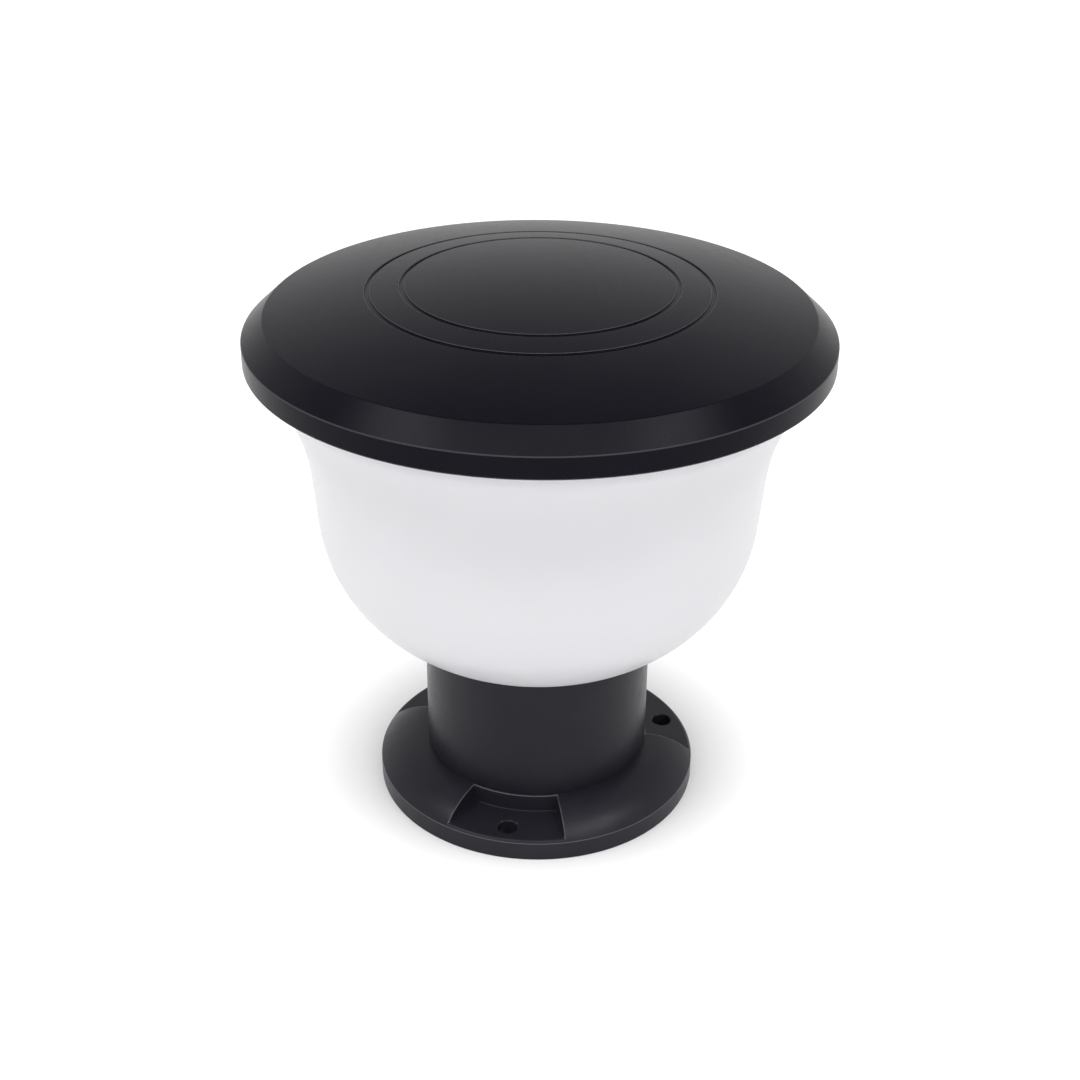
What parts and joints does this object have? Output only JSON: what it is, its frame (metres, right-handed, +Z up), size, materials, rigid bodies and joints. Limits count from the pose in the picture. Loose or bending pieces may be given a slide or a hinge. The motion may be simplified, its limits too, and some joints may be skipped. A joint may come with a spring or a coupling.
{
  "type": "pillar light",
  "caption": "Garden pillar light: round flanged base, short tube post, bowl-shaped opal shade and a low domed cap with ring grooves that twists and lifts off to reach a screw-in bulb.",
  "frame": {"origin": "centre of the base's underside, on the lamp's axis", "axes": "+Z up along the lamp's axis; -Y towards the viewer of the picture, +X to the viewer's right"},
  "size_m": [0.25, 0.25, 0.2483],
  "materials": {
    "cast_black": "die-cast aluminium, satin black powder coat",
    "tube_black": "extruded aluminium, satin black powder coat",
    "opal_white": "opal white, soft gloss",
    "steel_zinc": "zinc plated",
    "black_rubber": "matt",
    "grey_silicone": "matt",
    "black_nylon": "matt moulded",
    "white_nylon": "matt moulded",
    "brass": "bright",
    "nickel": "nickel plated",
    "porcelain": "glazed",
    "bulb_white": "frosted",
    "black_glass": "gloss",
    "wire_brown": "matt",
    "wire_blue": "matt",
    "wire_earth": "matt",
    "aluminium": "plain"
  },
  "bodies": {
    "base": {"base_flange": "cast_black", "base_gasket": "black_rubber", "post_tube": "tube_black", "base_screws": "steel_zinc", "gland_body": "black_nylon", "gland_washer": "black_rubber", "gland_locknut": "black_nylon", "gland_seal": "black_rubber", "gland_nut": "black_nylon", "terminal_block": "white_nylon", "terminal_clamps": "brass", "terminal_screws": "steel_zinc", "terminal_fixing_screws": "steel_zinc", "earth_tag": "steel_zinc", "earth_screw": "steel_zinc", "live_wire": "wire_brown", "neutral_wire": "wire_blue", "earth_wire": "wire_earth", "neck_gasket": "black_rubber", "shade": "opal_white", "holder_plate": "steel_zinc", "plate_washers": "steel_zinc", "plate_screws": "steel_zinc", "wire_grommet": "black_rubber", "lampholder_bracket": "steel_zinc", "bracket_screws": "steel_zinc", "bracket_nuts": "steel_zinc", "lampholder_body": "porcelain", "lampholder_terminals": "brass", "lampholder_screws": "steel_zinc", "lampholder_shell": "nickel", "lampholder_contact": "brass"},
    "bulb_tip": {"bulb_contact": "brass"},
    "bulb": {"bulb_insulator": "black_glass", "bulb_screw_cap": "nickel", "bulb_housing": "bulb_white", "bulb_led_board": "aluminium", "bulb_globe": "bulb_white"},
    "cap_seal": {"cap_gasket": "grey_silicone"},
    "cap": {"cap_ring": "cast_black", "cap_ring_screws": "steel_zinc", "cap_cover": "cast_black"}
  },
  "joints": [
    {"name": "cap_lift", "type": "slide", "parent": "base", "child": "cap_seal", "axis": [0, 0, 1], "range_m": [0, 0.15]},
    {"name": "cap_twist", "type": "hinge", "parent": "cap_seal", "child": "cap", "pos_m": [0, 0, 0.222], "axis": [0, 0, 1], "range_deg": [0, 22]},
    {"name": "bulb_rise", "type": "slide", "parent": "base", "child": "bulb_tip", "axis": [0, 0, 1], "range_m": [0, 0.02178]},
    {"name": "bulb_turn", "type": "hinge", "parent": "bulb_tip", "child": "bulb", "pos_m": [0, 0, 0.1016], "axis": [0, 0, 1], "range_deg": [0, 2160]}
  ],
  "couplings": [
    {"joint": "bulb_rise", "follows": "bulb_turn", "m_per_rad": 0.00057757}
  ]
}
